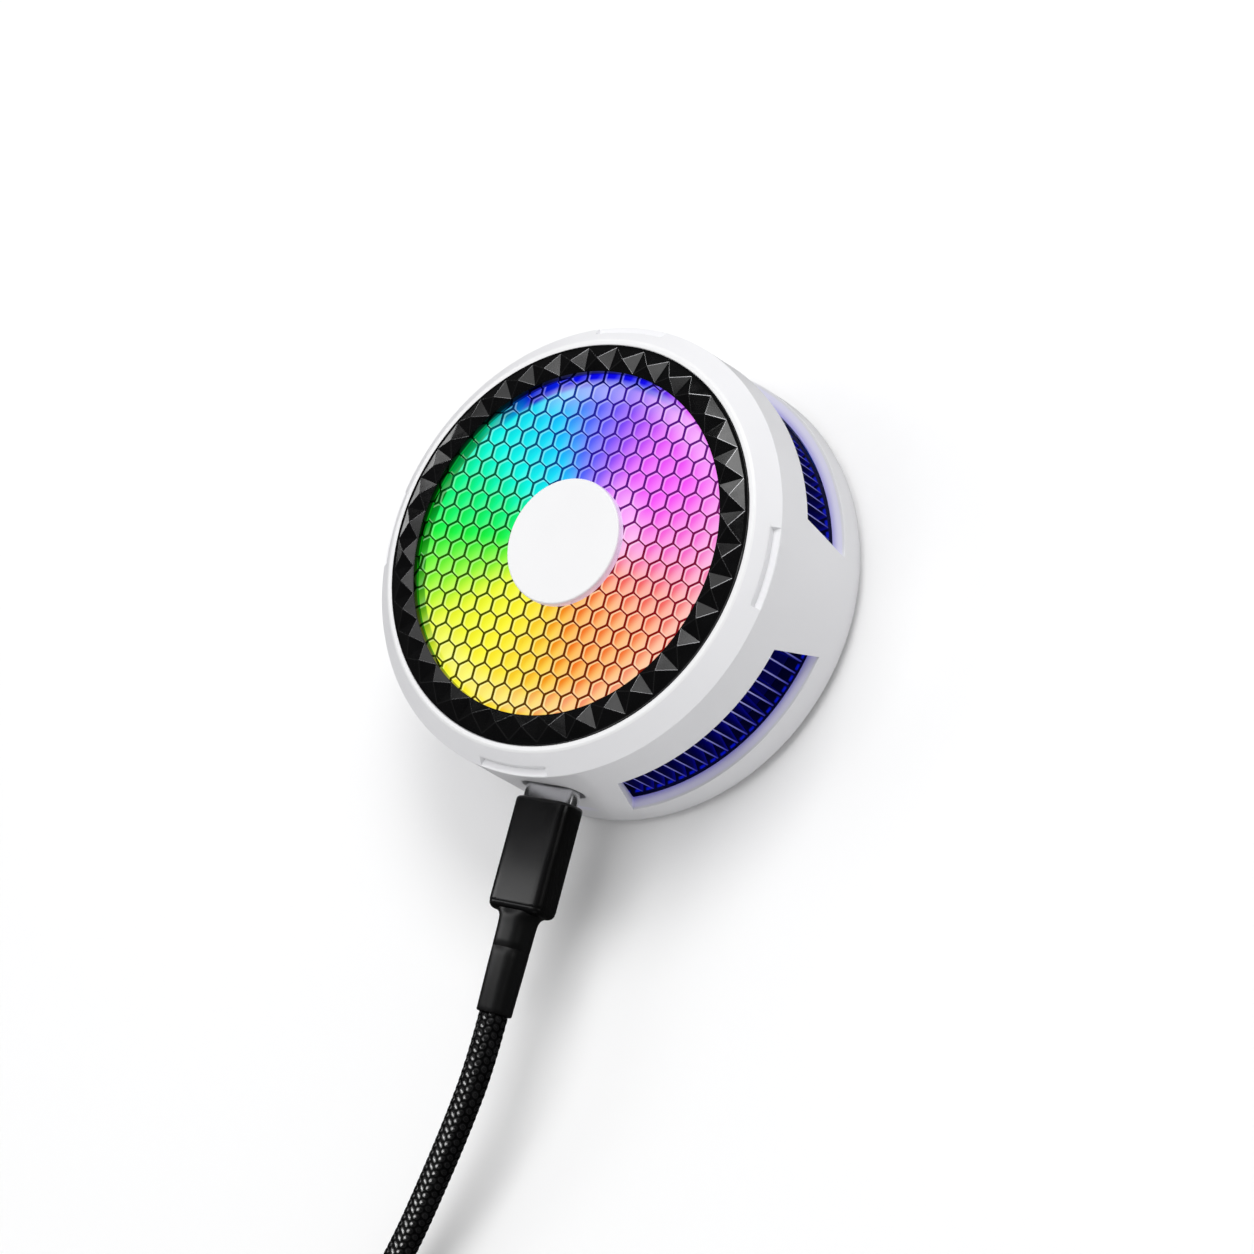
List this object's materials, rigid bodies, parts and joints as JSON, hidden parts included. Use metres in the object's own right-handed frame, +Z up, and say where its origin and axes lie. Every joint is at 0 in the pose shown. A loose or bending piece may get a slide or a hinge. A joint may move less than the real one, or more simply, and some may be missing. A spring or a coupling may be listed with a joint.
{
  "type": "phone cooling fan",
  "caption": "Round magnetic phone cooler with a studded ring, honeycomb grille, lit fan, finned side windows and a braided USB lead.",
  "frame": {"origin": "centre of the flat contact face that lies on the phone", "axes": "+Z along the drum's axis, away from the phone; the USB socket faces -Y; +X to the right of the socket seen from in front of it with +Z up"},
  "size_m": [0.0788, 0.2161, 0.0246],
  "materials": {
    "housing_white": "white moulded plastic, soft sheen",
    "cap_white": "white moulded plastic, satin",
    "stud_black": "polished black plastic",
    "grille_dark": "dark tinted plastic",
    "duct_grey": "pale plastic",
    "impeller_frost": "frosted plastic, lit from the rim",
    "fin_metal": "bare extruded",
    "cold_metal": "brushed",
    "tec_ceramic": "white ceramic",
    "tec_pellet": "dark semiconductor",
    "foam": "closed-cell foam",
    "steel_zinc": "zinc plated",
    "steel_stamped": "stamped sheet",
    "magnet_nickel": "nickel plated",
    "magnet_dark": "bonded ferrite",
    "bronze": "sintered bronze",
    "copper": "enamelled wire",
    "pcb_green": "solder mask",
    "chip_black": "moulded package",
    "led_lens": "clear lens",
    "led_blue": "lit",
    "light_guide": "diffusing ring, lit blue",
    "pad_silicone": "matte silicone",
    "cover_white": "white moulded plastic",
    "connector_steel": "nickel-plated steel",
    "connector_black": "moulded insert",
    "overmould_black": "satin black moulding",
    "relief_black": "satin black moulding",
    "braid_black": "black braid with pale flecks",
    "tie_black": "hook-and-loop band",
    "wire_red_black": "insulated wire"
  },
  "bodies": {
    "housing": {"main_housing": "housing_white", "bezel_lip": "housing_white", "stud_ring": "stud_black", "honeycomb_grille": "grille_dark", "centre_cap": "cap_white", "fan_duct": "duct_grey", "control_board": "pcb_green", "rgb_leds": "led_lens", "board_components": "chip_black", "motor_base": "duct_grey", "motor_base_screws": "steel_zinc", "bearing_sleeve": "bronze", "stator_core": "steel_stamped", "stator_coils": "copper", "motor_board": "pcb_green", "heatsink": "fin_metal", "peltier_cold_plate": "tec_ceramic", "peltier_hot_plate": "tec_ceramic", "peltier_elements": "tec_pellet", "insulation_ring": "foam", "cold_plate": "cold_metal", "clamp_screws": "steel_zinc", "rear_cover": "cover_white", "rear_screws": "steel_zinc", "magnet_segments": "magnet_nickel", "magnet_yoke": "steel_stamped", "grip_pad": "pad_silicone", "vent_light_ring": "light_guide", "blue_leds": "led_blue", "usb_socket_shell": "connector_steel", "usb_socket_tongue": "connector_black", "usb_board": "pcb_green", "peltier_leads": "wire_red_black", "board_leads": "wire_red_black"},
    "rotor": {"impeller": "impeller_frost", "rotor_yoke": "steel_stamped", "rotor_magnet": "magnet_dark", "rotor_shaft": "steel_zinc"},
    "lead": {"plug_shell": "connector_steel", "plug_insert": "connector_black", "plug_overmould": "overmould_black", "strain_relief": "relief_black", "cable_run": "braid_black", "cable_coil": "braid_black", "cable_tail": "braid_black", "coil_tie": "tie_black", "far_strain_relief": "relief_black", "far_plug_overmould": "overmould_black", "far_plug_shell": "connector_steel", "far_plug_tongue": "connector_black"}
  },
  "joints": [
    {"name": "fan_spin", "type": "hinge", "parent": "housing", "child": "rotor", "pos_m": [0, 0, 0.014], "axis": [0, 0, 1], "continuous": true},
    {"name": "plug_pull", "type": "slide", "parent": "housing", "child": "lead", "axis": [0, -1, 0], "range_m": [0, 0.01]}
  ]
}
